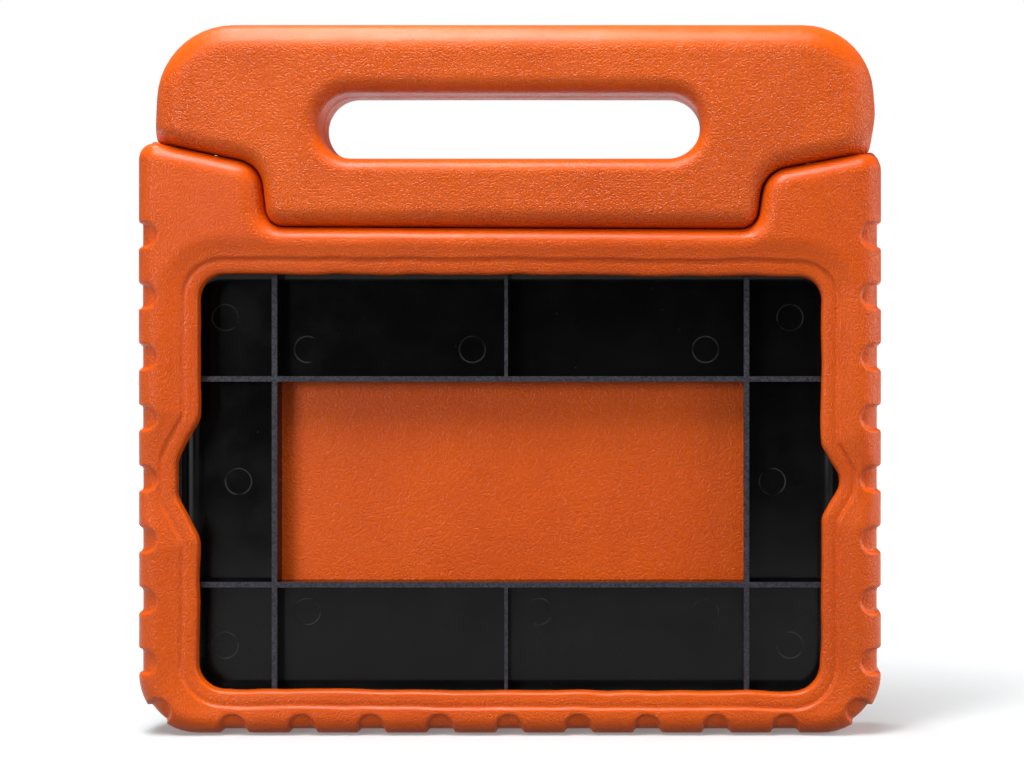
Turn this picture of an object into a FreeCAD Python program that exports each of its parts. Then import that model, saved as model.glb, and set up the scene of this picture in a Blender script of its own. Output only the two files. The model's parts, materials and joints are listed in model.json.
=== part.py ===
"""Tablet case: a moulded foam body, a folding foam carry handle and a ribbed filler tray in the bay.

Millimetres. The origin is on the surface that the case stands on, under the middle of its width and depth.
+X is to the viewer's right, -Y is the front with the screen opening, and +Z is up.
"""
import FreeCAD
import Part
import math
import os

V = FreeCAD.Vector
SIDES = {"right": 1, "left": -1}

# Overall
HALF_WIDTH = 110.3
HEIGHT = 210.8
HALF_DEPTH = 12.5
MARGIN = 20.0  # how far a large cutting tool runs past the piece that it cuts
OVERRUN = 1.0  # the same for a small tool
NEAR = 0.01  # tolerance for finding an edge by its place

# Foam body
BODY_CORNER_R = 17.7
BODY_EDGE_R = 6.7
SHOULDER_EDGE_R = 4.0
SHOULDER_TIP_Z = 174.9  # top of the shoulder, at the outer side
SHOULDER_INNER = (74.9, 167.8, 8.6)  # x, z and radius where the shoulder turns down
RECESS_CORNER = (72.4, 150.1, 5.7)  # x, z and radius at the foot of the shoulder
LAYER_Y = -1.0  # the shoulders' front layer ends here
CHEEK_X = 89.5  # inner face of the full-depth cheeks that hold the pivots

# Screen opening and its lip
OPENING_HALF_X = 92.4
OPENING_LOW_Z = 12.7
OPENING_HIGH_Z = 135.9
OPENING_R = 7.7
NOTCH_DEPTH = 6.0
NOTCH_MID_Z = 75.1
NOTCH_HALF_FLAT = 5.2
NOTCH_HALF_SPAN = 17.7
LIP_BAND = 4.6
LIP_STEP = 1.2  # Filler tray, the size of a tablet with a 7.9-inch screen
TRAY_HALF_X = 100.0
TRAY_LOW_Z = 7.05
TRAY_HIGH_Z = 141.75
TRAY_FRONT_Y = -5.8
TRAY_THICK = 7.2
TRAY_CORNER_R = 12.8
TRAY_EDGE_R = 6.6
TRAY_WALL = 2.0
TRAY_FLOOR = 1.4
TRAY_GAP = 0.2  # between the tray and the foam bay
TRAY_INNER_R = 5.6
RIB = 1.6
RIB_X = 70.3
RIB_HIGH_Z = 105.1
RIB_LOW_Z = 43.8
CENTRE_RIB = 1.0
CENTRE_RIB_X = -1.3
RIB_DROP = 0.3  # rib tops lie this far behind the rim
RIB_ROOT = 0.5  # the ribs run this far into the floor
MARK_R = 3.9
MARK_DEPTH = 0.15
MARKS = [(-61.6, 113.9), (-12.0, 113.9), (58.1, 113.9), (-61.6, 35.1), (8.1, 35.1), (58.1, 35.1),
         (-82.3, 74.2), (78.2, 74.2), (-86.3, 123.5), (83.5, 123.5), (-86.3, 25.0), (83.5, 25.0)]

# Grip scallops
SCALLOP_WIDTH = 7.4
SCALLOP_DEPTH = 1.05
SCALLOP_WRAP = math.radians(66)  # how far each one wraps over the rounded edges
SIDE_SCALLOPS = 8
SIDE_SCALLOP_LOW_Z = 21.7
SIDE_SCALLOP_PITCH = 18.0
BASE_SCALLOPS = 9
BASE_SCALLOP_PITCH = 20.4  # Openings in the foam
PORT_LENGTH = 28.7
PORT_WIDTH = 6.7
JACK_R = 4.3
JACK_Z = 30.7
CAMERA_R = 7.7
CAMERA_X = -85.5
CAMERA_Z = 127.2  # Pivot
KNUCKLE_R = 6.55
PIVOT_Y = HALF_DEPTH - KNUCKLE_R
PIVOT_Z = 157.45
TURN_STOP = math.radians(120)
STOP_GAP = 0.3

# Handle
HANDLE_HALF_X = 106.8
HANDLE_CORNER_R = 22.0
HANDLE_EDGE_R = 9.5
HANDLE_LOW_EDGE_R = 2.4
HANDLE_GAP = 0.8  # between the handle and the shoulders
LAYER_GAP = 0.4
HANDLE_END_X = 88.4
SLOT_HALF_X = 56.6
SLOT_LOW_Z = 170.5
SLOT_HIGH_Z = 189.8
SLOT_EDGE_R = 4.8  # Hinge hardware
BAR_R = 4.3
BARREL_R = 4.8
CORE_PLATE = 3.8
CORE_PLATE_X = 63.2
CORE_END_X = 88.7
HEEL_X = 72.7  # outside this the front half of the knuckle is plastic
CORE_PLATE_TOP = 10.0  # above the pivot axis
PIN_R = 2.4
PIN_INNER_X = 76.6
PIN_OUTER_X = 102.0
PIN_GROOVE_R = 1.9
PIN_CHAMFER = 0.5
RING_X = 99.6
RING_THICK = 0.8
RING_INNER_R = 2.0
RING_OUTER_R = 3.1
RING_GAP_DEG = 60
RING_PLAY = 0.1  # between the ring and the sides of its groove in the pin
GROOVE_PLAY = 0.2  # between the ring and its groove in the socket
PIN_END_PLAY = 0.1
BORE_R = 2.46
BORE_END_X = 102.8
FLANGE_R = 5.7
FLANGE_THICK = 1.4
SOCKET_R = 4.4
SOCKET_END_X = 104.7
WASHER_R = 5.2
WASHER_X = 88.8
WASHER_THICK = 0.6
WASHER_BORE_R = 2.6


def outline(corners, y):
    """A closed face in the plane at depth y. Each corner is (x, z, radius)."""
    points = [V(x, y, z) for x, z, _ in corners]
    arcs = []
    for i, (_, _, radius) in enumerate(corners):
        here = points[i]
        back = (points[i - 1] - here).normalize()
        ahead = (points[(i + 1) % len(points)] - here).normalize()
        if radius == 0:
            arcs.append((here, None, here))
            continue
        half = back.getAngle(ahead) / 2
        reach = radius / math.tan(half)
        inward = (back + ahead).normalize()
        crown = here + inward * (radius / math.sin(half) - radius)
        arcs.append((here + back * reach, crown, here + ahead * reach))
    edges = []
    for i, (start, crown, end) in enumerate(arcs):
        if crown is not None:
            edges.append(Part.Arc(start, crown, end).toShape())
        following = arcs[(i + 1) % len(arcs)][0]
        if (following - end).Length > 1e-6:
            edges.append(Part.makeLine(end, following))
    return Part.Face(Part.Wire(edges))


def slab(corners, y_from, y_to):
    """An outline carried from one depth to another."""
    return outline(corners, y_from).extrude(V(0, y_to - y_from, 0))


def box(x_from, x_to, y_from, y_to, z_from, z_to):
    return Part.makeBox(x_to - x_from, y_to - y_from, z_to - z_from, V(x_from, y_from, z_from))


def both_sides(right_corners):
    """The right half of an outline, from bottom to top, and its mirror image back down."""
    return right_corners + [(-x, z, radius) for x, z, radius in reversed(right_corners)]


def rectangle(half_x, z_from, z_to, radius):
    return both_sides([(half_x, z_from, radius), (half_x, z_to, radius)])


def axle(radius, x_from, x_to, side=1):
    """A cylinder on the pivot axis. x_from and x_to are distances from the middle, towards one side."""
    return Part.makeCylinder(radius, x_to - x_from, V(side * x_from, PIVOT_Y, PIVOT_Z), V(side, 0, 0))


def edges_where(shape, test):
    return [edge for edge in shape.Edges if test(edge.CenterOfMass, edge.BoundBox)]


def shoulder_top(x):
    """Height of the shoulder's sloping top at distance x from the middle."""
    inner_x, inner_z, _ = SHOULDER_INNER
    return inner_z + (SHOULDER_TIP_Z - inner_z) * (x - inner_x) / (HALF_WIDTH - inner_x)


def above_shoulders(gap):
    """The front outline of the space over the shoulders and the recess, moved up and in by a gap."""
    far_x = HALF_WIDTH + MARGIN
    inner_x, inner_z, inner_r = SHOULDER_INNER
    foot_x, foot_z, foot_r = RECESS_CORNER
    return both_sides([
        (foot_x - gap, foot_z + gap, foot_r - gap),
        (inner_x - gap, inner_z + gap, inner_r + gap),
        (far_x, shoulder_top(far_x) + gap, 0),
        (far_x, HEIGHT + MARGIN, 0),
    ])


def scallop(x, z, outward):
    """A groove that wraps round the rounded edge of the body at one point of its silhouette."""
    tool_r = SCALLOP_WIDTH ** 2 / (8 * SCALLOP_DEPTH) + SCALLOP_DEPTH / 2
    bend_r = BODY_EDGE_R + tool_r - SCALLOP_DEPTH
    edge = V(x, 0, z)
    straight = HALF_DEPTH - BODY_EDGE_R

    def on_path(side, angle):
        out = math.cos(angle) * bend_r - BODY_EDGE_R
        return edge + outward * out + V(0, side * (straight + math.sin(angle) * bend_r), 0)

    path = Part.Wire([
        Part.Arc(on_path(-1, SCALLOP_WRAP), on_path(-1, SCALLOP_WRAP / 2), on_path(-1, 0)).toShape(),
        Part.makeLine(on_path(-1, 0), on_path(1, 0)),
        Part.Arc(on_path(1, 0), on_path(1, SCALLOP_WRAP / 2), on_path(1, SCALLOP_WRAP)).toShape(),
    ])
    heading = path.OrderedEdges[0].tangentAt(path.OrderedEdges[0].FirstParameter)
    section = Part.Wire(Part.makeCircle(tool_r, on_path(-1, SCALLOP_WRAP), heading))
    return path.makePipeShell([section], True, True)


def scallops():
    tools = []
    for side in SIDES.values():
        for i in range(SIDE_SCALLOPS):
            z = SIDE_SCALLOP_LOW_Z + i * SIDE_SCALLOP_PITCH
            tools.append(scallop(side * HALF_WIDTH, z, V(side, 0, 0)))
        diagonal = V(side, 0, -1).normalize()
        centre = V(side * (HALF_WIDTH - BODY_CORNER_R), 0, BODY_CORNER_R)
        corner = centre + diagonal * BODY_CORNER_R
        tools.append(scallop(corner.x, corner.z, diagonal))
    for i in range(BASE_SCALLOPS):
        x = (i - (BASE_SCALLOPS - 1) / 2) * BASE_SCALLOP_PITCH
        tools.append(scallop(x, 0, V(0, 0, -1)))
    return tools


def opening_corners(grow):
    """The screen opening with a finger notch in each side, grown by a distance."""
    edge_x = OPENING_HALF_X + grow
    slope = NOTCH_DEPTH / (NOTCH_HALF_SPAN - NOTCH_HALF_FLAT)
    shift = grow * (math.hypot(1, slope) - 1) / slope  # keeps the notch's slopes the same distance away
    span = NOTCH_HALF_SPAN + shift
    flat = NOTCH_HALF_FLAT + shift
    radius = OPENING_R + grow
    inner_r = OPENING_R
    return both_sides([
        (edge_x, OPENING_LOW_Z - grow, radius),
        (edge_x, NOTCH_MID_Z - span, inner_r),
        (edge_x + NOTCH_DEPTH, NOTCH_MID_Z - flat, inner_r),
        (edge_x + NOTCH_DEPTH, NOTCH_MID_Z + flat, inner_r),
        (edge_x, NOTCH_MID_Z + span, inner_r),
        (edge_x, OPENING_HIGH_Z + grow, radius),
    ])


def body_blank():
    """The body's rounded block, with everything above the shoulders and the recess cut away."""
    over = HEIGHT + MARGIN
    corners = both_sides([(HALF_WIDTH, 0, BODY_CORNER_R), (HALF_WIDTH, over, 0)])
    block = slab(corners, -HALF_DEPTH, HALF_DEPTH)
    rim = edges_where(block, lambda mid, size: abs(mid.y) > HALF_DEPTH - NEAR and size.ZMin < over - OVERRUN)
    block = block.makeFillet(BODY_EDGE_R, rim)
    _, floor_z, _ = RECESS_CORNER
    far_x = HALF_WIDTH + MARGIN
    behind = both_sides([
        (CHEEK_X, floor_z, 0),
        (CHEEK_X, shoulder_top(CHEEK_X), 0),
        (far_x, shoulder_top(far_x), 0),
        (far_x, over + MARGIN, 0),
    ])
    front = slab(above_shoulders(0), -HALF_DEPTH - MARGIN, LAYER_Y)
    block = block.cut(front).cut(slab(behind, LAYER_Y, HALF_DEPTH + MARGIN))
    block = block.removeSplitter()

    def on_top_edge(mid, size):
        front_edge = mid.y < -HALF_DEPTH + NEAR and mid.z > floor_z - OVERRUN
        on_cheek = abs(mid.x) > CHEEK_X + OVERRUN and mid.z > shoulder_top(CHEEK_X)
        back_edge = on_cheek and mid.y > HALF_DEPTH - NEAR
        wraps_cheek = on_cheek and size.YLength > NEAR and size.ZLength < BODY_CORNER_R
        return front_edge or back_edge or wraps_cheek

    return block.makeFillet(SHOULDER_EDGE_R, edges_where(block, on_top_edge))


def stop_wedge():
    """The space above the sloping stop that the folded handle's back comes to rest beside."""
    reach = HALF_DEPTH - PIVOT_Y + STOP_GAP  # from the pivot axis to the stop's plane
    down = V(0, math.cos(TURN_STOP), -math.sin(TURN_STOP))
    along = V(0, math.sin(TURN_STOP), math.cos(TURN_STOP))
    foot = V(-CHEEK_X, PIVOT_Y, PIVOT_Z) + down * reach
    corners = [foot - along * MARGIN, foot + along * MARGIN, foot + along * MARGIN - down * MARGIN,
               foot - along * MARGIN - down * MARGIN]
    wedge = Part.Face(Part.makePolygon(corners + corners[:1])).extrude(V(2 * CHEEK_X, 0, 0))
    return wedge.common(box(-CHEEK_X, CHEEK_X, LAYER_Y, HALF_DEPTH + MARGIN, 0, HEIGHT))


def tray_block(grow):
    """The tray's outer shape, with its rounded back edges, grown by a distance."""
    back_y = TRAY_FRONT_Y + TRAY_THICK
    corners = rectangle(TRAY_HALF_X + grow, TRAY_LOW_Z - grow, TRAY_HIGH_Z + grow, TRAY_CORNER_R + grow)
    block = slab(corners, TRAY_FRONT_Y - grow, back_y + grow)
    rim = edges_where(block, lambda mid, size: mid.y > back_y + grow - NEAR)
    return block.makeFillet(TRAY_EDGE_R + grow, rim)


def make_body_foam(sockets):
    body = body_blank().cut(stop_wedge())
    front_y = -HALF_DEPTH - MARGIN
    body = body.cut(tray_block(TRAY_GAP))
    body = body.cut(slab(opening_corners(0), front_y, TRAY_FRONT_Y))
    body = body.cut(slab(opening_corners(LIP_BAND), front_y, -HALF_DEPTH + LIP_STEP))
    middle_y = TRAY_FRONT_Y + TRAY_THICK / 2
    middle_z = (TRAY_LOW_Z + TRAY_HIGH_Z) / 2
    through = TRAY_HALF_X - OVERRUN
    port = Part.makeCylinder(PORT_WIDTH / 2, MARGIN, V(through, middle_y, middle_z), V(1, 0, 0))
    reach = (PORT_LENGTH - PORT_WIDTH) / 2
    low, high = port.translated(V(0, 0, -reach)), port.translated(V(0, 0, reach))
    middle = box(through, through + MARGIN, middle_y - PORT_WIDTH / 2, middle_y + PORT_WIDTH / 2,
                 middle_z - reach, middle_z + reach)
    jack = Part.makeCylinder(JACK_R, MARGIN, V(-through, middle_y, JACK_Z), V(-1, 0, 0))
    camera = Part.makeCylinder(CAMERA_R, MARGIN, V(CAMERA_X, 0, CAMERA_Z), V(0, 1, 0))
    for tool in [low, high, middle, jack, camera] + scallops() + sockets:
        body = body.cut(tool)
    return body.removeSplitter()


def make_filler_tray():
    floor_y = TRAY_FRONT_Y + TRAY_THICK - TRAY_FLOOR
    inside = rectangle(TRAY_HALF_X - TRAY_WALL, TRAY_LOW_Z + TRAY_WALL, TRAY_HIGH_Z - TRAY_WALL,
                       TRAY_CORNER_R - TRAY_WALL)
    pocket = slab(inside, TRAY_FRONT_Y - OVERRUN, floor_y)
    rim = edges_where(pocket, lambda mid, size: mid.y > floor_y - NEAR)
    pocket = pocket.makeFillet(TRAY_INNER_R, rim)
    tray = tray_block(0).cut(pocket)
    top_y = TRAY_FRONT_Y + RIB_DROP
    ribs = [box(side * RIB_X - RIB / 2, side * RIB_X + RIB / 2, top_y, floor_y + RIB_ROOT, 0, HEIGHT)
            for side in SIDES.values()]
    for z in (RIB_LOW_Z, RIB_HIGH_Z):
        ribs.append(box(-TRAY_HALF_X, TRAY_HALF_X, top_y, floor_y + RIB_ROOT, z - RIB / 2, z + RIB / 2))
    ribs.append(box(CENTRE_RIB_X - CENTRE_RIB / 2, CENTRE_RIB_X + CENTRE_RIB / 2, top_y, floor_y + RIB_ROOT,
                    0, HEIGHT))
    solid = tray_block(0)
    for rib in ribs:
        tray = tray.fuse(rib.common(solid))
    window_x = RIB_X - RIB / 2
    tray = tray.cut(box(-window_x, window_x, TRAY_FRONT_Y - OVERRUN, TRAY_FRONT_Y + TRAY_THICK + OVERRUN,
                        RIB_LOW_Z + RIB / 2, RIB_HIGH_Z - RIB / 2))
    for x, z in MARKS:
        start = V(x, floor_y + MARK_DEPTH - OVERRUN, z)
        tray = tray.cut(Part.makeCylinder(MARK_R, OVERRUN, start, V(0, 1, 0)))
    return tray.removeSplitter()


def make_hinge_core():
    """A bar through the handle's tongue, with a barrel and a plate at each end."""
    front_y = LAYER_Y + LAYER_GAP
    core = axle(BAR_R, -PIN_INNER_X, PIN_INNER_X)
    for side in SIDES.values():
        core = core.fuse(axle(BARREL_R, CORE_PLATE_X, CORE_END_X, side))
        x_from, x_to = sorted((side * CORE_PLATE_X, side * CORE_END_X))
        core = core.fuse(box(x_from, x_to, front_y, front_y + CORE_PLATE, PIVOT_Z, PIVOT_Z + CORE_PLATE_TOP))
        lower_front = box(x_from, x_to, front_y - OVERRUN, PIVOT_Y, PIVOT_Z - MARGIN, PIVOT_Z)
        core = core.fuse(axle(KNUCKLE_R, HEEL_X, CORE_END_X, side).common(lower_front))
    for side in SIDES.values():
        core = core.cut(axle(PIN_R, PIN_INNER_X, CORE_END_X + OVERRUN, side))
    return core.removeSplitter()


def make_handle_foam(core_space):
    corners = both_sides([(HANDLE_HALF_X, PIVOT_Z - MARGIN, 0), (HANDLE_HALF_X, HEIGHT, HANDLE_CORNER_R)])
    blank = slab(corners, -HALF_DEPTH, HALF_DEPTH)
    low_z = PIVOT_Z - MARGIN
    rim = edges_where(blank, lambda mid, size: abs(mid.y) > HALF_DEPTH - NEAR and mid.z > low_z + OVERRUN)
    blank = blank.makeFillet(HANDLE_EDGE_R, rim)
    front_y = LAYER_Y + LAYER_GAP
    far_y = HALF_DEPTH + MARGIN
    front = slab(above_shoulders(HANDLE_GAP), -far_y, front_y)
    below_axis = box(-HALF_WIDTH, HALF_WIDTH, front_y, PIVOT_Y, 0, PIVOT_Z)
    tongue = slab(above_shoulders(HANDLE_GAP), front_y, PIVOT_Y).common(below_axis)
    wings = slab(both_sides([
        (HANDLE_END_X, PIVOT_Z, 0),
        (HANDLE_END_X, shoulder_top(HANDLE_END_X) + HANDLE_GAP, 0),
        (HALF_WIDTH, shoulder_top(HALF_WIDTH) + HANDLE_GAP, 0),
        (HALF_WIDTH, HEIGHT + MARGIN, 0),
    ]), front_y, far_y)
    knuckle = axle(KNUCKLE_R, -HANDLE_END_X, HANDLE_END_X)
    handle = front.fuse([tongue, wings, knuckle]).common(blank).removeSplitter()

    def on_low_edge(mid, size):
        return mid.y < -HALF_DEPTH + NEAR and mid.z < shoulder_top(abs(mid.x)) + 2 * HANDLE_GAP

    handle = handle.makeFillet(HANDLE_LOW_EDGE_R, edges_where(handle, on_low_edge))
    slot_r = (SLOT_HIGH_Z - SLOT_LOW_Z) / 2
    slot = slab(rectangle(SLOT_HALF_X, SLOT_LOW_Z, SLOT_HIGH_Z, slot_r), -far_y, far_y)
    handle = handle.cut(slot)

    def on_slot_edge(mid, size):
        inside = abs(mid.x) < SLOT_HALF_X + OVERRUN and SLOT_LOW_Z - OVERRUN < mid.z < SLOT_HIGH_Z + OVERRUN
        return inside and abs(mid.y) > HALF_DEPTH - NEAR and size.XMax < SLOT_HALF_X + OVERRUN

    handle = handle.makeFillet(SLOT_EDGE_R, edges_where(handle, on_slot_edge))
    return handle.cut(core_space).removeSplitter()


def make_pivot_pin(side):
    pin = axle(PIN_R, PIN_INNER_X, PIN_OUTER_X, side)
    rim = edges_where(pin, lambda mid, size: size.XLength < NEAR)
    pin = pin.makeChamfer(PIN_CHAMFER, rim)
    groove = axle(PIN_R + OVERRUN, RING_X - RING_PLAY, RING_X + RING_THICK + RING_PLAY, side)
    return pin.cut(groove.cut(axle(PIN_GROOVE_R, RING_X - OVERRUN, RING_X + RING_THICK + OVERRUN, side)))


def socket_space(side):
    barrel = axle(SOCKET_R, CHEEK_X, SOCKET_END_X, side)
    return barrel.fuse(axle(FLANGE_R, CHEEK_X, CHEEK_X + FLANGE_THICK, side)).removeSplitter()


def make_cheek_socket(side):
    socket = socket_space(side).cut(axle(BORE_R, CHEEK_X - OVERRUN, BORE_END_X, side))
    groove_r = RING_OUTER_R + GROOVE_PLAY
    return socket.cut(axle(groove_r, RING_X - GROOVE_PLAY, RING_X + RING_THICK + GROOVE_PLAY, side))


def make_friction_washer(side):
    disc = axle(WASHER_R, WASHER_X, WASHER_X + WASHER_THICK, side)
    return disc.cut(axle(WASHER_BORE_R, WASHER_X - OVERRUN, WASHER_X + WASHER_THICK + OVERRUN, side))


def make_retaining_ring(side):
    ring = axle(RING_OUTER_R, RING_X, RING_X + RING_THICK, side)
    ring = ring.cut(axle(RING_INNER_R, RING_X - OVERRUN, RING_X + RING_THICK + OVERRUN, side))
    start = V(side * (RING_X - OVERRUN), PIVOT_Y, PIVOT_Z)
    length = RING_THICK + 2 * OVERRUN
    wedge = Part.makeCylinder(RING_OUTER_R + OVERRUN, length, start, V(side, 0, 0), RING_GAP_DEG)
    return ring.cut(wedge)


def main():
    core = make_hinge_core()
    core_space = core
    for side in SIDES.values():
        core_space = core_space.fuse(axle(PIN_R, PIN_INNER_X - PIN_END_PLAY, CORE_END_X, side))
    pieces = {
        "body_foam": make_body_foam([socket_space(side) for side in SIDES.values()]),
        "handle_foam": make_handle_foam(core_space),
        "filler_tray": make_filler_tray(),
        "hinge_core": core,
    }
    for name, side in SIDES.items():
        pieces["pivot_pin_" + name] = make_pivot_pin(side)
        pieces["cheek_socket_" + name] = make_cheek_socket(side)
        pieces["friction_washer_" + name] = make_friction_washer(side)
        pieces["retaining_ring_" + name] = make_retaining_ring(side)
    os.makedirs("parts", exist_ok=True)
    for name, shape in pieces.items():
        if len(shape.Solids) != 1 or not shape.isValid():
            raise RuntimeError(f"{name}: {len(shape.Solids)} solids, valid {shape.isValid()}")
        shape.Solids[0].exportStep(f"parts/{name}.step")
        print(f"{name}: {shape.Volume / 1000:.2f} cm3")


main()
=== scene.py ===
import json
import math

import bpy
import numpy as np
import openvdb
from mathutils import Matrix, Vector


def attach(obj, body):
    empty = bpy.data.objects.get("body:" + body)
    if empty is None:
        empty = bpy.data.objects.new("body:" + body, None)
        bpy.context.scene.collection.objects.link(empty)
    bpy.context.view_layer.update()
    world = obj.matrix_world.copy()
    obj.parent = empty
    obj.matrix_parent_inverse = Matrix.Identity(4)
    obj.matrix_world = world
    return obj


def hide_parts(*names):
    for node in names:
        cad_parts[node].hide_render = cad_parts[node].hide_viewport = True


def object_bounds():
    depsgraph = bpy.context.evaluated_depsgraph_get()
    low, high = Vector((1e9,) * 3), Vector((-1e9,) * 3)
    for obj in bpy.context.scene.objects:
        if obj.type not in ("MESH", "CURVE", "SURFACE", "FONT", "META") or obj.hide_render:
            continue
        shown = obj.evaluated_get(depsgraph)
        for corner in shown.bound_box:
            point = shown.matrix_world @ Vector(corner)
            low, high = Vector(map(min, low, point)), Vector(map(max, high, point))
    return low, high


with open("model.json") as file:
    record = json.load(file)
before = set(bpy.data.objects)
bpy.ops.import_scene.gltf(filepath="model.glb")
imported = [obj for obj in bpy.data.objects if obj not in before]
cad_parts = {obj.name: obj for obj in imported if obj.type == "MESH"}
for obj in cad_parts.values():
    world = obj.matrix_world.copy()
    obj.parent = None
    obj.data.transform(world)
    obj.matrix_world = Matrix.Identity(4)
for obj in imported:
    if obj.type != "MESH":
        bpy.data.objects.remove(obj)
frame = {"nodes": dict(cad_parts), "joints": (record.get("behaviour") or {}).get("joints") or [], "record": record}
cad_bounds = [list(corner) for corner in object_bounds()]

MM = 0.001
VOXEL = 0.55
ARC_STEP = 0.12  # radians between the points of an arc
OUTSIDE = 50.0  # a distance field's value far from the surface


def in_mm(metres):
    return [round(value / MM, 2) for value in metres]


hinge = frame["joints"][0]
mounts = {mount["name"]: mount for mount in frame["record"]["mounts"]}

# Foam body, in millimetres: x to the right, y away from the viewer, z up
HALF_WIDTH, HALF_DEPTH, HEIGHT = in_mm(cad_bounds[1])
FAR_X = HALF_WIDTH + 40
FAR_Z = HEIGHT + 60
CORNER_R = 17.7
EDGE_R = 6.7
SHOULDER_R = 6.0
REAR_R = 3.6
SHOULDER_BLEND_Y = (0, -4)  # the rounding grows from REAR_R to SHOULDER_R over this depth
BODY_SWELL = dict(size=26, height=0.12)
LAYER_Y = -1.0  # the shoulders' front layer ends here
FRONT_FLOOR_Z = 149.4
REAR_FLOOR_Z = 150.5
REAR_FLOOR_Y = 0.2
CHEEK_X = 89.5  # inner face of the full-depth cheeks that hold the pivots
# A low ridge under the handle, which keeps light out of the gap
RIDGE_Z = 151.1
RIDGE_Y = 1.4
RIDGE_HALF = 1.1
CHEEK_RIDGE = 0.65
SLOPE_COS = 0.98  # turns a height over a shoulder's slope into a distance
# Each shoulder: height at the outer side, then x, z and radius of its inner corner and of its foot
SHOULDERS = {
    -1: dict(tip=176.4, inner=(74.3, 168.6, 8.6), foot=(72.2, 150.2, 5.7)),
    1: dict(tip=173.2, inner=(75.8, 166.5, 8.6), foot=(73.3, 149.5, 5.7)),
}

# Screen opening. Each side's notch: depth, half its flat, half its span and its corner radius
OPENING_HALF_X = 92.2
OPENING_MID_X = 0.2
OPENING_LOW_Z = 12.7
OPENING_HIGH_Z = 135.9
OPENING_R = 7.7
NOTCH_MID_Z = 75.1
NOTCHES = {-1: (6.8, 5.2, 17.7, 7.7), 1: (5.2, 1.8, 10.6, 4.5)}
LIP_R = 1.2
LIP_BACK_Y = -5.8
LIP_OVERRUN = 0.5  # the opening's cut goes this far into the bay
OPENING_ROLL = math.radians(-0.25)
OPENING_WOBBLE = dict(size=9, height=0.28)

# Relief of the front face around the opening: distances from its edge, and how deep it is there
FACE_FALL = (4.4, 12.0, 1.3)
LIP_STEP = (4.2, 5.2, 0.65)
LIP_FALL = (-0.5, 3.5, 0.5)
LIP_GROOVE = dict(at=4.3, half=0.5, height=0.3)

# Bay behind the lip
BAY_HALF_X = 100.2
BAY_LOW_Z = 6.85
BAY_HIGH_Z = 141.95
BAY_R = 13.0
BAY_BACK_Y = 1.6
BAY_EDGE_R = 6.8
BAY_PLAY = 0.2  # the bay reaches this far into the lip's back

# Tray: depths between which the ribs' textured tops begin, and the ejector marks
RIB_TOP_Y = (-5.4, -5.1)
MARK_R = 3.9
MARKS = [(-61.6, 113.9), (-12, 113.9), (58.1, 113.9), (-61.6, 35.1), (8.1, 35.1), (58.1, 35.1),
         (-82.3, 74.2), (78.2, 74.2), (-86.3, 123.5), (83.5, 123.5), (-86.3, 25), (83.5, 25)]

# Scallops
SCALLOP_DEPTH = 1.2
SCALLOP_WALL = (0.3, -0.5)  # the wall's top and foot, as distances from the footprint's edge
SCALLOP_RUN = 20  # a footprint carries on this far off the edge
SIDE_SCALLOPS = 8
BASE_SCALLOPS_PER_SIDE = 4
SIDE_SCALLOP = dict(half=3.7, reach=6.6)
BASE_SCALLOP = dict(half=4.05, reach=6.2)
SIDE_SCALLOP_LOW_Z = 21.7
SIDE_SCALLOP_PITCH = 18.0
BASE_SCALLOP_PITCH = 20.4

# Ports, and the camera hole in the back
PORT_Y = -2.2
PORT_Z = 74.4
PORT_HALF_RUN = 11.0
PORT_R = 3.35
JACK_Z = 30.7
JACK_R = 4.3
PORT_END_X = 98.5
CAMERA_X, _, CAMERA_Z = in_mm(mounts["camera_hole"]["pos_m"])
CAMERA_R = mounts["camera_hole"]["dims"]["r_mm"]
HOLE_EDGE_R = 0.9

# Pivot and handle
_, PIVOT_Y, PIVOT_Z = in_mm(hinge["pos_m"])
FOLDED = math.radians(hinge["range_deg"][1])
KNUCKLE_R = 6.55
STOP_GAP = 0.3
STOP_REACH = HALF_DEPTH - PIVOT_Y + STOP_GAP
STOP_EDGE_R = 0.8
FRONT_GAP = 0.35
WING_GAP = 1.1
TONGUE_GAP = 2.4
HANDLE_FRONT_Y = -0.6
HANDLE_END_X = 88.4
HANDLE_EDGE_R = 9.6
HANDLE_LOW_R = 5.5
HANDLE_REAR_LOW_R = 0.3
HANDLE_BLEND_Y = (-1, -6)
HANDLE_SWELL = dict(size=22, height=0.18)
# The handle's outline: x, z and corner radius, from the right foot round to the left
HANDLE_CORNERS = [(106.6, 140, 0), (106.6, 170.3, 28), (108.9, 183.7, 23), (106.6, HEIGHT, 21.3),
                  (-104.6, HEIGHT, 23), (-106.5, 170, 60), (-106.5, 140, 0)]
TONGUE_RISE = 3
SLOT_HALF_X = 56.6
SLOT_LOW_Z = 170.5
SLOT_HIGH_Z = 189.8
SLOT_EDGE_R = 5.0
SEAM_HEIGHT = 0.3  # the parting line inside the finger slot
SEAM_HALF = 0.6

# Seats for the hinge sockets in the cheeks
SEAT_START_X = 88.5
SOCKET_SEAT_R = 4.45
SOCKET_SEAT_END_X = 104.75
FLANGE_SEAT_R = 5.75
FLANGE_SEAT_END_X = 90.95

# Room for the hinge core in the handle
CORE_PLAY = 0.1
CORE_X = 63.2
CORE_TOP = 10
CORE_BACK_Y = 3.2
HEEL_X = 72.7
BARREL_R = 4.8
BAR_R = 4.3

# The skin's wrinkles change direction between these distances from the middle
SIDE_BAR_X = (84, 96)

# Blocks of samples
GRID_HALF_X = 113
GRID_HALF_Y = 14.5
BODY_GRID_Z = (-3, 180)
HANDLE_GRID_Z = (147, 214)

# Floor, in metres, like the lights and the camera
FLOOR_HALF_X = 6
FLOOR_FRONT_Y = -0.45
FLOOR_BACK_Y = 6
FLOOR_Z = -0.0002

rng = np.random.default_rng(11)


# ---------------------------------------------------------------- distance fields

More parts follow.
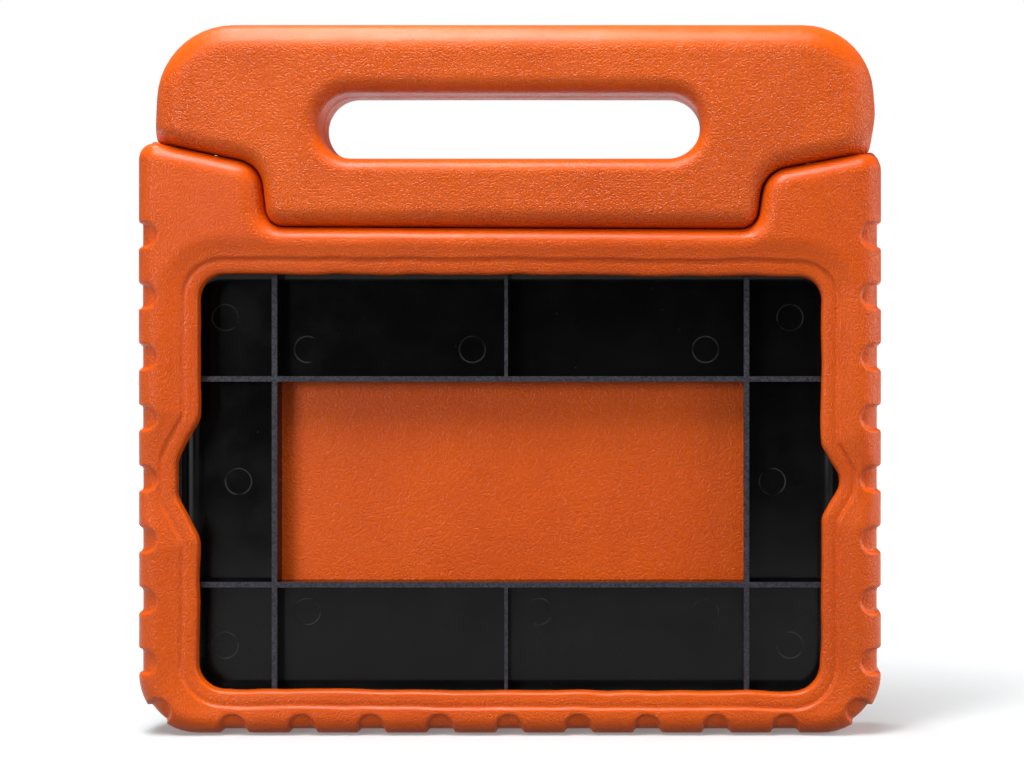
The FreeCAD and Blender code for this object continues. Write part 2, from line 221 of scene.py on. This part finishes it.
def outline(corners):
    """Points round a closed outline whose corners are (x, z, radius)."""
    spots = np.array([(x, z) for x, z, _ in corners], float)
    points = []
    for i, (_, _, radius) in enumerate(corners):
        here = spots[i]
        back = spots[i - 1] - here
        ahead = spots[(i + 1) % len(spots)] - here
        back, ahead = back / np.hypot(*back), ahead / np.hypot(*ahead)
        if radius == 0:
            points.append(here)
            continue
        half = math.acos(np.clip(back @ ahead, -1, 1)) / 2
        middle = (back + ahead) / np.hypot(*(back + ahead))
        centre = here + middle * radius / math.sin(half)
        start = here + back * radius / math.tan(half) - centre
        end = here + ahead * radius / math.tan(half) - centre
        turn = math.atan2(start[0] * end[1] - start[1] * end[0], start @ end)
        for step in np.linspace(0, turn, max(3, int(abs(turn) / ARC_STEP))):
            c, s = math.cos(step), math.sin(step)
            points.append(centre + (start[0] * c - start[1] * s, start[0] * s + start[1] * c))
    return np.array(points)


def rectangle(half_x, low_z, high_z, low_r, high_r):
    return outline([(half_x, low_z, low_r), (half_x, high_z, high_r),
                    (-half_x, high_z, high_r), (-half_x, low_z, low_r)])


def turned(points, angle, about):
    c, s = math.cos(angle), math.sin(angle)
    return (points - about) @ np.array([[c, s], [-s, c]]) + about


class Grid:
    """A block of sample points, and plane fields on its x and z axes."""

    def __init__(self, low_z, high_z):
        low = (-GRID_HALF_X, -GRID_HALF_Y, low_z)
        high = (GRID_HALF_X, GRID_HALF_Y, high_z)
        self.low = np.array(low, float)
        self.x, self.y, self.z = (np.arange(a, b + VOXEL, VOXEL, dtype=np.float32)
                                  for a, b in zip(low, high))
        self.X, self.Z = np.meshgrid(self.x, self.z, indexing="ij")

    def flat(self, points):
        """Signed distance to an outline in the x-z plane, negative inside."""
        nearest = np.full(self.X.shape, np.inf, np.float32)
        inside = np.zeros(self.X.shape, bool)
        for a, b in zip(points, np.roll(points, -1, 0)):
            ex, ez = (b - a).astype(np.float32)
            length = ex * ex + ez * ez
            if length < 1e-9:
                continue
            wx, wz = self.X - np.float32(a[0]), self.Z - np.float32(a[1])
            t = np.clip((wx * ex + wz * ez) / length, 0, 1)
            nearest = np.minimum(nearest, (wx - ex * t) ** 2 + (wz - ez * t) ** 2)
            if abs(ez) > 1e-9:
                crosses = (a[1] <= self.Z) != (b[1] <= self.Z)
                inside ^= crosses & (wx < ex * wz / ez)
        return np.where(inside, -1, 1).astype(np.float32) * np.sqrt(nearest)

    def noise(self, size, height):
        """Smooth random heights over x and z, up to about the one given. The size is the features'."""
        rough = rng.standard_normal(self.X.shape)
        fx = np.fft.fftfreq(self.X.shape[0], VOXEL)[:, None]
        fz = np.fft.rfftfreq(self.X.shape[1], VOXEL)[None, :]
        soft = np.exp(-((fx ** 2 + fz ** 2) * size ** 2) * 2.5)
        smooth = np.fft.irfft2(np.fft.rfft2(rough) * soft, self.X.shape)
        return (smooth / (2.2 * smooth.std())).astype(np.float32) * height

    def capsule(self, start, end, radius):
        ex, ez = end[0] - start[0], end[1] - start[1]
        wx, wz = self.X - start[0], self.Z - start[1]
        t = np.clip((wx * ex + wz * ez) / (ex * ex + ez * ez), 0, 1)
        return np.hypot(wx - ex * t, wz - ez * t) - radius


def deep(field):
    """A plane field as a block that is the same at every depth."""
    return field[:, None, :]


def smoothstep(low, high, value):
    t = np.clip((value - low) / (high - low), 0, 1)
    return t * t * (3 - 2 * t)


def meet(a, b, radius):
    """Where a and b overlap, with the edge between them rounded."""
    corner = np.hypot(np.maximum(a + radius, 0), np.maximum(b + radius, 0))
    return np.minimum(np.maximum(a, b), -radius) + corner


def relief(field, low, high, depth):
    """A depth where a field is under low, and 0 where it is over high."""
    return depth * (1 - smoothstep(low, high, field))


def bell(field, at, half, height):
    """A narrow rise where a field has one value, and 0 far from there."""
    return height * np.exp(-((field - at) / half) ** 2)


def mesh_object(name, field, grid):
    """A mesh of the surface where a distance field is 0."""
    volume = openvdb.FloatGrid(OUTSIDE)
    volume.copyFromArray(np.ascontiguousarray(field, dtype=np.float32))
    points, quads = volume.convertToQuads(isovalue=0.0)
    points = (points * VOXEL + grid.low) * MM
    quads = quads.astype(np.int32)
    a, b, c, d = (points[quads[:, k]] for k in range(4))
    if np.einsum("ij,ij->i", a, np.cross(b, c) + np.cross(c, d)).sum() < 0:
        quads = quads[:, ::-1]
    mesh = bpy.data.meshes.new(name)
    mesh.vertices.add(len(points))
    mesh.vertices.foreach_set("co", points.astype(np.float32).ravel())
    mesh.loops.add(quads.size)
    mesh.loops.foreach_set("vertex_index", np.ascontiguousarray(quads).ravel())
    mesh.polygons.add(len(quads))
    mesh.polygons.foreach_set("loop_start", np.arange(0, quads.size, 4, dtype=np.int32))
    mesh.update(calc_edges=True)
    mesh.validate()
    mesh.shade_smooth()
    piece = bpy.data.objects.new(name, mesh)
    bpy.context.scene.collection.objects.link(piece)
    print(name, len(points), "points", len(quads), "faces")
    return piece


# ---------------------------------------------------------------- foam shapes

def shoulder_top(side, x):
    inner_x, inner_z, _ = SHOULDERS[side]["inner"]
    return inner_z + (SHOULDERS[side]["tip"] - inner_z) * (x - inner_x) / (HALF_WIDTH - inner_x)


def height_over_slope(grid, gap):
    """How far points are above the shoulder's slope on their side and a gap over it."""
    x_out = np.abs(grid.X)
    slope = np.where(grid.X < 0, shoulder_top(-1, x_out), shoulder_top(1, x_out))
    return (grid.Z - (slope + gap)) * SLOPE_COS


def above_shoulders(gap):
    """The outline of the space over the shoulders and the recess, moved up and in by a gap."""
    corners = {}
    for side, s in SHOULDERS.items():
        (ix, iz, ir), (fx, fz, fr) = s["inner"], s["foot"]
        corners[side] = [
            (side * (fx - gap), fz + gap, fr - gap),
            (side * (ix - gap), iz + gap, ir + gap),
            (side * FAR_X, shoulder_top(side, FAR_X) + gap, 0),
            (side * FAR_X, FAR_Z, 0),
        ]
    return outline(corners[1] + corners[-1][::-1])


def opening_outline():
    sides = {}
    for side, (depth, flat, span, radius) in NOTCHES.items():
        edge = OPENING_MID_X + side * OPENING_HALF_X
        deep_x = edge + side * depth
        sides[side] = [
            (edge, OPENING_LOW_Z, OPENING_R),
            (edge, NOTCH_MID_Z - span, radius),
            (deep_x, NOTCH_MID_Z - flat, radius),
            (deep_x, NOTCH_MID_Z + flat, radius),
            (edge, NOTCH_MID_Z + span, radius),
            (edge, OPENING_HIGH_Z, OPENING_R),
        ]
    points = outline(sides[1] + sides[-1][::-1])
    return turned(points, OPENING_ROLL, np.array([0, (OPENING_LOW_Z + OPENING_HIGH_Z) / 2]))


def scallop_field(grid):
    """1 inside the grip scallops' footprints and 0 outside, with narrow walls."""
    nearest = np.full(grid.X.shape, np.inf, np.float32)
    root = math.sqrt(0.5)
    inset = CORNER_R - CORNER_R * root
    spots = []
    for side in (1, -1):
        for i in range(SIDE_SCALLOPS):
            z = SIDE_SCALLOP_LOW_Z + i * SIDE_SCALLOP_PITCH
            spots.append(((side * HALF_WIDTH, z), (side, 0), SIDE_SCALLOP))
        spots.append(((side * (HALF_WIDTH - inset), inset), (side * root, -root), SIDE_SCALLOP))
    for i in range(-BASE_SCALLOPS_PER_SIDE, BASE_SCALLOPS_PER_SIDE + 1):
        spots.append(((i * BASE_SCALLOP_PITCH, 0), (0, -1), BASE_SCALLOP))
    for (x, z), (dx, dz), shape in spots:
        back = shape["half"] - shape["reach"]
        start = (x + dx * back, z + dz * back)
        end = (x + dx * SCALLOP_RUN, z + dz * SCALLOP_RUN)
        nearest = np.minimum(nearest, grid.capsule(start, end, shape["half"]))
    return smoothstep(*SCALLOP_WALL, nearest)


def body_blank(grid, y, opening):
    """The whole rounded slab, with the relief of its front face."""
    swell = deep(grid.noise(**BODY_SWELL))
    opening = opening + grid.noise(**OPENING_WOBBLE)
    low = relief(opening, *FACE_FALL) + relief(opening, *LIP_STEP) + relief(opening, *LIP_FALL)
    low = deep(low + bell(opening, **LIP_GROOVE))
    face = np.where(y < 0, -y - HALF_DEPTH + low - swell, y - HALF_DEPTH - swell * 0.5)
    slab = deep(grid.flat(rectangle(HALF_WIDTH, 0, FAR_Z, CORNER_R, 0)))
    return meet(slab, face, EDGE_R), opening


def body_top(grid, y):
    """What the body keeps: shoulders in front, cheeks and a plain back behind them, and the ridge."""
    shoulders = np.maximum(-deep(grid.flat(above_shoulders(0))), y - LAYER_Y)
    inside_cheeks = CHEEK_X - np.abs(grid.X)
    cheeks = np.maximum(inside_cheeks, height_over_slope(grid, 0))
    behind = deep(np.minimum(cheeks, grid.Z - FRONT_FLOOR_Z).astype(np.float32))
    rear_floor = np.maximum(deep(grid.Z) - REAR_FLOOR_Z, REAR_FLOOR_Y - y)
    cheek_ridge = np.maximum(inside_cheeks, height_over_slope(grid, 0) - CHEEK_RIDGE)
    ridge = deep(np.minimum(cheek_ridge, grid.Z - RIDGE_Z))
    ridge = np.maximum(ridge, np.abs(y - RIDGE_Y) - RIDGE_HALF).astype(np.float32)
    return np.minimum(np.minimum(shoulders, behind), np.minimum(rear_floor, ridge))


def stop_wedge(grid, y):
    """The space behind the sloping stop that the folded handle rests on."""
    c, s = math.cos(FOLDED), math.sin(FOLDED)
    slope = (y - PIVOT_Y) * c - (deep(grid.Z) - PIVOT_Z) * s - STOP_REACH
    return np.maximum(np.maximum(slope, LAYER_Y - y), np.abs(deep(grid.X)) - CHEEK_X)


def tablet_bay(grid, y, opening):
    """The bay behind the lip, and the screen opening in front of it."""
    bay = deep(grid.flat(rectangle(BAY_HALF_X, BAY_LOW_Z, BAY_HIGH_Z, BAY_R, BAY_R)))
    bay = meet(bay, y - BAY_BACK_Y, BAY_EDGE_R)
    bay = np.maximum(bay, LIP_BACK_Y - BAY_PLAY - y)
    return np.minimum(np.maximum(deep(opening), y - LIP_BACK_Y - LIP_OVERRUN), bay)


def body_holes(grid, y):
    """The charging port, the headphone hole and the camera hole."""
    x, z = deep(grid.X), deep(grid.Z)
    along = np.clip(z - PORT_Z, -PORT_HALF_RUN, PORT_HALF_RUN)
    port = np.hypot(y - PORT_Y, z - PORT_Z - along) - PORT_R
    jack = np.hypot(y - PORT_Y, z - JACK_Z) - JACK_R
    camera = np.hypot(x - CAMERA_X, z - CAMERA_Z) - CAMERA_R
    return np.maximum(port, PORT_END_X - x), np.maximum(jack, x + PORT_END_X), np.maximum(camera, -y)


def socket_seats(grid, y):
    radius = np.hypot(y - PIVOT_Y, deep(grid.Z) - PIVOT_Z)
    reach = np.abs(deep(grid.X))
    socket = np.maximum(radius - SOCKET_SEAT_R, reach - SOCKET_SEAT_END_X)
    flange = np.maximum(radius - FLANGE_SEAT_R, reach - FLANGE_SEAT_END_X)
    return np.maximum(np.minimum(socket, flange), SEAT_START_X - reach)


def body_foam():
    grid = Grid(*BODY_GRID_Z)
    y = grid.y[None, :, None]
    body, opening = body_blank(grid, y, grid.flat(opening_outline()))
    shoulder_r = REAR_R + (SHOULDER_R - REAR_R) * smoothstep(*SHOULDER_BLEND_Y, y)
    body = meet(body, body_top(grid, y), shoulder_r)
    body = meet(body, -stop_wedge(grid, y), STOP_EDGE_R)
    body = meet(body, -tablet_bay(grid, y, opening), LIP_R)
    body = body + deep(scallop_field(grid) * SCALLOP_DEPTH)
    for hole in body_holes(grid, y):
        body = meet(body, -hole, HOLE_EDGE_R)
    body = np.maximum(body, -socket_seats(grid, y))
    return mesh_object("foam_body", body, grid)


def handle_base(grid, y):
    """What the handle keeps: a front layer over the shoulders, and the tongue, wings and knuckle behind."""
    x_out = np.abs(grid.X)
    radius = np.hypot(y - PIVOT_Y, deep(grid.Z) - PIVOT_Z)
    knuckle = np.maximum(radius - KNUCKLE_R, deep(x_out) - HANDLE_END_X)
    over_slope = -height_over_slope(grid, WING_GAP)
    wings = deep(np.where(x_out < HANDLE_END_X, PIVOT_Z - grid.Z, over_slope).astype(np.float32))
    tongue = deep(grid.flat(above_shoulders(TONGUE_GAP)))
    tongue = np.maximum(np.maximum(tongue, deep(grid.Z) - PIVOT_Z - TONGUE_RISE), y - PIVOT_Y)
    rear = np.minimum(np.minimum(tongue, wings), knuckle)
    front = deep(grid.flat(above_shoulders(FRONT_GAP)))
    layers = np.minimum(np.maximum(front, y - HANDLE_FRONT_Y), np.maximum(rear, HANDLE_FRONT_Y - y))
    return np.minimum(layers, np.maximum(front, rear))


def finger_slot(grid, y):
    radius = (SLOT_HIGH_Z - SLOT_LOW_Z) / 2
    middle_z = SLOT_LOW_Z + radius
    slot = grid.capsule((-SLOT_HALF_X + radius, middle_z), (SLOT_HALF_X - radius, middle_z), radius)
    return deep(slot) + bell(y, 0, SEAM_HALF, SEAM_HEIGHT)


def core_room(grid, y):
    """The room for the hinge core: its plate, heel, barrel and bar."""
    out = np.abs(deep(grid.X))
    above, below = deep(grid.Z) - PIVOT_Z, PIVOT_Z - deep(grid.Z)
    radius = np.hypot(y - PIVOT_Y, above)
    plate = np.maximum(np.maximum(CORE_X - out, np.maximum(below, above - CORE_TOP)),
                       np.maximum(HANDLE_FRONT_Y - y, y - CORE_BACK_Y))
    heel = np.maximum(np.maximum(radius - KNUCKLE_R, HEEL_X - out), np.maximum(above, y - PIVOT_Y))
    barrel = np.maximum(radius - BARREL_R, CORE_X - out)
    return np.minimum(np.minimum(plate, heel), np.minimum(barrel, radius - BAR_R)) - CORE_PLAY


def handle_foam():
    grid = Grid(*HANDLE_GRID_Z)
    y = grid.y[None, :, None]
    face = np.abs(y) - HALF_DEPTH - deep(grid.noise(**HANDLE_SWELL))
    handle = meet(deep(grid.flat(outline(HANDLE_CORNERS))), face, HANDLE_EDGE_R)
    low_r = HANDLE_REAR_LOW_R + (HANDLE_LOW_R - HANDLE_REAR_LOW_R) * smoothstep(*HANDLE_BLEND_Y, y)
    handle = meet(handle, handle_base(grid, y), low_r)
    handle = meet(handle, -finger_slot(grid, y), SLOT_EDGE_R)
    handle = np.maximum(handle, -core_room(grid, y))
    return mesh_object("foam_handle", handle, grid)


# ---------------------------------------------------------------- materials

class Nodes:
    """Short calls for building a node material."""

    def __init__(self, name):
        self.material = bpy.data.materials.new(name)
        self.material.use_nodes = True
        self.tree = self.material.node_tree
        self.shader = self.tree.nodes["Principled BSDF"]

    def set(self, **values):
        for key, value in values.items():
            self.shader.inputs[key.replace("_", " ")].default_value = value

    def add(self, kind, settings=None, **inputs):
        node = self.tree.nodes.new("ShaderNode" + kind)
        for key, value in (settings or {}).items():
            setattr(node, key, value)
        for key, value in inputs.items():
            self.plug(node, key, value)
        return node

    def plug(self, node, key, value):
        socket = node.inputs[int(key[1:]) if key[0] == "_" else key.replace("_", " ")]
        if isinstance(value, bpy.types.NodeSocket):
            self.tree.links.new(value, socket)
        else:
            socket.default_value = value

    def math(self, operation, a, b=0.0):
        return self.add("Math", {"operation": operation}, _0=a, _1=b).outputs[0]

    def place(self, scale=(1, 1, 1)):
        coords = self.add("TexCoord").outputs["Object"]
        return self.add("Mapping", Vector=coords, Scale=scale).outputs[0]

    def noise(self, vector, scale, detail, roughness, distortion=0.0):
        return self.add("TexNoise", Vector=vector, Scale=scale, Detail=detail, Roughness=roughness,
                        Distortion=distortion).outputs[0]

    def voronoi(self, vector, scale):
        return self.add("TexVoronoi", Vector=vector, Scale=scale).outputs["Distance"]

    def span(self, value, low, high, to_low=0.0, to_high=1.0):
        """A smooth change from to_low, where the value is low, to to_high, where it is high."""
        node = self.add("MapRange", {"interpolation_type": "SMOOTHSTEP"}, Value=value)
        for key, number in zip(("From Min", "From Max", "To Min", "To Max"), (low, high, to_low, to_high)):
            self.plug(node, key, number)
        return node.outputs[0]

    def mix(self, factor, a, b):
        node = self.add("Mix", {"data_type": "RGBA"})
        self.plug(node, "_0", factor)
        self.plug(node, "_6", a)
        self.plug(node, "_7", b)
        return node.outputs[2]

    def bump(self, height, distance, strength, normal=None):
        node = self.add("Bump", Height=height, Distance=distance, Strength=strength)
        if normal is not None:
            self.plug(node, "Normal", normal)
        return node.outputs[0]

    def finish(self, color, roughness, normal=None):
        self.plug(self.shader, "Base_Color", color)
        self.plug(self.shader, "Roughness", roughness)
        if normal is not None:
            self.plug(self.shader, "Normal", normal)
        return self.material


def linear(red, green, blue):
    """An 8-bit screen colour as scene-linear values."""
    def convert(v):
        v /= 255
        return v / 12.92 if v <= 0.04045 else ((v + 0.055) / 1.055) ** 2.4
    return (convert(red), convert(green), convert(blue), 1.0)


def foam_material(name, stretch, side_stretch, relief, hues):
    """Moulded closed-cell foam with a fine wrinkled skin. The stretches set which way its wrinkles run."""
    n = Nodes(name)
    flow = n.place(stretch)
    across = n.place(side_stretch)
    plain = n.place()
    # the wrinkles turn along the side bars
    x_out = n.math("ABSOLUTE", n.add("SeparateXYZ", Vector=plain).outputs[0])
    on_side = n.span(x_out, SIDE_BAR_X[0] * MM, SIDE_BAR_X[1] * MM)
    creases = []
    for run in (flow, across):
        folds = n.noise(run, 880, 1, 0.5, 0.2)
        creases.append(n.math("ABSOLUTE", n.math("SUBTRACT", folds, 0.5)))
    wrinkles = n.add("Mix", {"data_type": "FLOAT"}, _0=on_side, _2=creases[0], _3=creases[1]).outputs[0]
    grit = n.math("MULTIPLY", n.noise(plain, 1500, 2, 0.5), 0.12)
    height = n.math("ADD", n.math("MINIMUM", wrinkles, 0.11), grit)
    pores = n.span(n.voronoi(plain, 330), 0.02, 0.1, -0.12, 0.0)
    height = n.math("ADD", height, pores)
    slow = n.noise(plain, 55, 3, 0.5)
    patchy = n.span(n.noise(plain, 16, 2, 0.5), 0.4, 0.62, 0.75, 1.0)
    # the skin is smoother where it rounds over the top of an edge
    up = n.add("SeparateXYZ", Vector=n.add("TexCoord").outputs["Normal"]).outputs[2]
    grained = n.math("MULTIPLY", patchy, n.span(up, 0.08, 0.42, 1.0, 0.15))
    normal = n.bump(height, relief, grained)
    normal = n.bump(slow, 0.0012, 0.25, normal)
    tone = n.noise(plain, 28, 4, 0.6)
    deep_orange, orange, highlight_orange = (linear(*hue) for hue in hues)
    color = n.mix(n.span(tone, 0.32, 0.68), deep_orange, orange)
    # painted shade: a darker orange in the bottoms of the wrinkles' creases
    color = n.mix(n.span(wrinkles, 0.05, 0.0, 0.0, 0.25), color, linear(190, 56, 4))
    # painted highlight: a paler orange on sharp convex edges
    edges = n.add("NewGeometry").outputs["Pointiness"]
    color = n.mix(n.span(edges, 0.51, 0.60, 0, 0.5), color, highlight_orange)
    specks = n.span(n.voronoi(plain, 95), 0.02, 0.035, 0.35, 0.0)
    color = n.mix(specks, color, linear(120, 40, 10))
    roughness = n.span(n.noise(plain, 140, 3, 0.6), 0.3, 0.7, 0.32, 0.4)
    n.set(IOR=1.45, Specular_IOR_Level=0.34)
    return n.finish(color, roughness, normal)


def tray_material():
    """Glossy black moulding with textured rib tops, faint swirl marks and dust."""
    n = Nodes("tray_black")
    plain = n.place()
    y = n.add("SeparateXYZ", Vector=plain).outputs[1]
    tops = n.span(y, RIB_TOP_Y[0] * MM, RIB_TOP_Y[1] * MM, 1.0, 0.0)
    grain = n.noise(plain, 1700, 3, 0.6)
    cloud = n.noise(plain, 24, 4, 0.6)
    dust = n.span(n.voronoi(plain, 210), 0.018, 0.03, 0.5, 0.0)
    dark = n.mix(n.span(cloud, 0.35, 0.65), linear(9, 8, 9), linear(14, 13, 14))
    rib = n.mix(n.span(grain, 0.35, 0.65), linear(40, 40, 45), linear(70, 70, 78))
    color = n.mix(tops, dark, rib)
    color = n.mix(dust, color, linear(110, 108, 104))
    # painted highlight: a lighter ring on the rims of the ejector marks
    spot = n.add("VectorMath", {"operation": "MULTIPLY"}, _0=plain, _1=(1, 0, 1)).outputs[0]
    nearest = None
    for x, z in MARKS:
        centre = (x * MM, 0, z * MM)
        away = n.add("VectorMath", {"operation": "DISTANCE"}, _0=spot, _1=centre).outputs["Value"]
        nearest = away if nearest is None else n.math("MINIMUM", nearest, away)
    off_rim = n.math("ABSOLUTE", n.math("SUBTRACT", nearest, MARK_R * MM))
    uneven = n.span(n.noise(plain, 130, 2, 0.5), 0.4, 0.6)
    rim = n.math("MULTIPLY", n.span(off_rim, 0.0001, 0.0003, 1.0, 0.0), uneven)
    color = n.mix(n.math("MULTIPLY", rim, 0.5), color, linear(84, 80, 82))
    smooth = n.span(n.noise(plain, 60, 4, 0.65), 0.3, 0.7, 0.15, 0.24)
    roughness = n.add("Mix", {"data_type": "FLOAT"}, _0=tops, _2=smooth, _3=0.5).outputs[0]
    height = n.math("ADD", n.math("MULTIPLY", n.math("MULTIPLY", grain, tops), 0.5),
                    n.math("MULTIPLY", n.noise(plain, 90, 2, 0.5), 0.12))
    n.set(IOR=1.46, Specular_IOR_Level=0.16)
    return n.finish(color, roughness, n.bump(height, 0.0002, 0.5))


def plastic_material(name, dark, light, rough_low, rough_high, scale):
    n = Nodes(name)
    plain = n.place()
    color = n.mix(n.span(n.noise(plain, scale, 4, 0.6), 0.35, 0.65), dark, light)
    roughness = n.span(n.noise(plain, scale * 3, 4, 0.65), 0.3, 0.7, rough_low, rough_high)
    n.set(IOR=1.5)
    return n.finish(color, roughness, n.bump(n.noise(plain, scale * 9, 3, 0.6), 0.0001, 0.35))


def steel_material():
    n = Nodes("hinge_steel")
    lines = n.noise(n.place((1, 14, 14)), 420, 4, 0.7)
    color = n.mix(n.span(lines, 0.3, 0.7), linear(150, 152, 156), linear(196, 198, 202))
    roughness = n.span(lines, 0.3, 0.7, 0.24, 0.4)
    n.set(Metallic=1.0)
    return n.finish(color, roughness, n.bump(lines, 0.00005, 0.4))


def floor_material():
    """White floor that glows more with distance, where the lamps don't reach."""
    n = Nodes("floor_white")
    plain = n.place()
    tone = n.noise(plain, 3, 3, 0.5)
    color = n.mix(n.span(tone, 0.3, 0.7), (0.60, 0.63, 0.64, 1), (0.63, 0.66, 0.67, 1))
    away = n.add("VectorMath", {"operation": "LENGTH"}, _0=plain).outputs["Value"]
    n.plug(n.shader, "Emission_Strength", n.span(away, 0.15, 0.5, 0.18, 1.0))
    n.set(Specular_IOR_Level=0.2)
    n.shader.inputs["Emission Color"].default_value = (1, 1, 1, 1)
    return n.finish(color, n.span(tone, 0.3, 0.7, 0.75, 0.85))


# ---------------------------------------------------------------- pieces

# painted light: the handle's foam is a touch yellower and paler than the body's, as it is lit more from above
materials = {
    "body_foam": foam_material("body_foam_skin", (0.95, 1.0, 1.15), (1.2, 1.0, 0.9), 0.0009,
                               ((219, 84, 3), (229, 92, 5), (238, 108, 22))),
    "handle_foam": foam_material("handle_foam_skin", (0.95, 1.0, 1.15), (1.0, 1.0, 1.05), 0.0015,
                                 ((219, 86, 4), (229, 95, 6), (238, 112, 26))),
    "tray_plastic": tray_material(),
    "hinge_plastic": plastic_material("hinge_black", linear(14, 14, 15), linear(24, 24, 26),
                                      0.2, 0.32, 60),
    "washer_plastic": plastic_material("washer_pale", linear(206, 203, 195), linear(222, 219, 210),
                                       0.45, 0.6, 90),
    "hinge_steel": steel_material(),
}

body = body_foam()
body.data.materials.append(materials["body_foam"])
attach(body, "case")
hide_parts("body_foam")

handle = handle_foam()
handle.data.materials.append(materials["handle_foam"])
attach(handle, "handle")
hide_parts("handle_foam")

HARDWARE = {"filler_tray": "tray_plastic", "hinge_core": "hinge_plastic", "cheek_socket": "hinge_plastic",
            "friction_washer": "washer_plastic", "pivot_pin": "hinge_steel", "retaining_ring": "hinge_steel"}
for node, piece in frame["nodes"].items():
    kind = node.removesuffix("_left").removesuffix("_right")
    if kind in HARDWARE:
        piece.data.materials.clear()
        piece.data.materials.append(materials[HARDWARE[kind]])

# ---------------------------------------------------------------- stage

def area_light(name, spot, aim, size, watts, color=(1, 1, 1)):
    data = bpy.data.lights.new(name, "AREA")
    data.shape = "RECTANGLE"
    data.size, data.size_y = size
    data.energy = watts
    data.color = color
    light = bpy.data.objects.new(name, data)
    light.location = spot
    light.rotation_euler = (Vector(aim) - Vector(spot)).to_track_quat("-Z", "Y").to_euler()
    bpy.context.scene.collection.objects.link(light)


floor_mesh = bpy.data.meshes.new("floor")
floor_corners = [(-FLOOR_HALF_X, FLOOR_FRONT_Y, 0), (FLOOR_HALF_X, FLOOR_FRONT_Y, 0),
                 (FLOOR_HALF_X, FLOOR_BACK_Y, 0), (-FLOOR_HALF_X, FLOOR_BACK_Y, 0)]
floor_mesh.from_pydata(floor_corners, [], [(0, 1, 2, 3)])
floor_mesh.materials.append(floor_material())
floor = bpy.data.objects.new("floor", floor_mesh)
floor.location.z = FLOOR_Z
bpy.context.scene.collection.objects.link(floor)
floor.visible_diffuse = False

middle = (0, 0, 0.105)
area_light("key_light", (-0.55, -0.72, 0.25), middle, (0.35, 0.35), 3.5)
area_light("front_light", (0.5, -0.95, 0.22), middle, (0.4, 0.4), 0.5)
area_light("top_light", (-0.2, -0.32, 0.85), middle, (0.25, 0.4), 5.0)
area_light("rim_light", (-0.1, -0.05, 0.9), middle, (0.8, 0.3), 7.0)
area_light("side_light", (0.75, -0.1, 0.25), middle, (0.8, 0.5), 4.4, (1.0, 0.95, 0.93))

# dim surroundings to reflect, brighter behind the case than in front, and a white backdrop
world = bpy.data.worlds.new("studio")
world.use_nodes = True
scene = bpy.context.scene
scene.world = world
tree = world.node_tree
coords = tree.nodes.new("ShaderNodeTexCoord")
axes = tree.nodes.new("ShaderNodeSeparateXYZ")
around = tree.nodes.new("ShaderNodeMapRange")
around.inputs["From Min"].default_value = -0.5
around.inputs["From Max"].default_value = 0.5
around.inputs["To Min"].default_value = 0.03
around.inputs["To Max"].default_value = 0.24
backdrop = tree.nodes.new("ShaderNodeMix")
backdrop.inputs["B"].default_value = 1.0
path = tree.nodes.new("ShaderNodeLightPath")
tree.links.new(coords.outputs["Generated"], axes.inputs[0])
tree.links.new(axes.outputs["Y"], around.inputs["Value"])
tree.links.new(path.outputs["Is Camera Ray"], backdrop.inputs["Factor"])
tree.links.new(around.outputs[0], backdrop.inputs["A"])
tree.links.new(backdrop.outputs[0], tree.nodes["Background"].inputs["Strength"])
tree.nodes["Background"].inputs["Color"].default_value = (1, 1, 1, 1)

scene.view_settings.view_transform = "Standard"
lens = bpy.data.cameras.new("camera")
lens.lens = 68.6
lens.sensor_width = 36
lens.shift_x = -0.1805
lens.shift_y = -0.0305
camera = bpy.data.objects.new("camera", lens)
camera.location = (0.0555, -0.5866, 0.1129)
camera.rotation_euler = (math.radians(90), 0, 0)
scene.collection.objects.link(camera)
scene.camera = camera
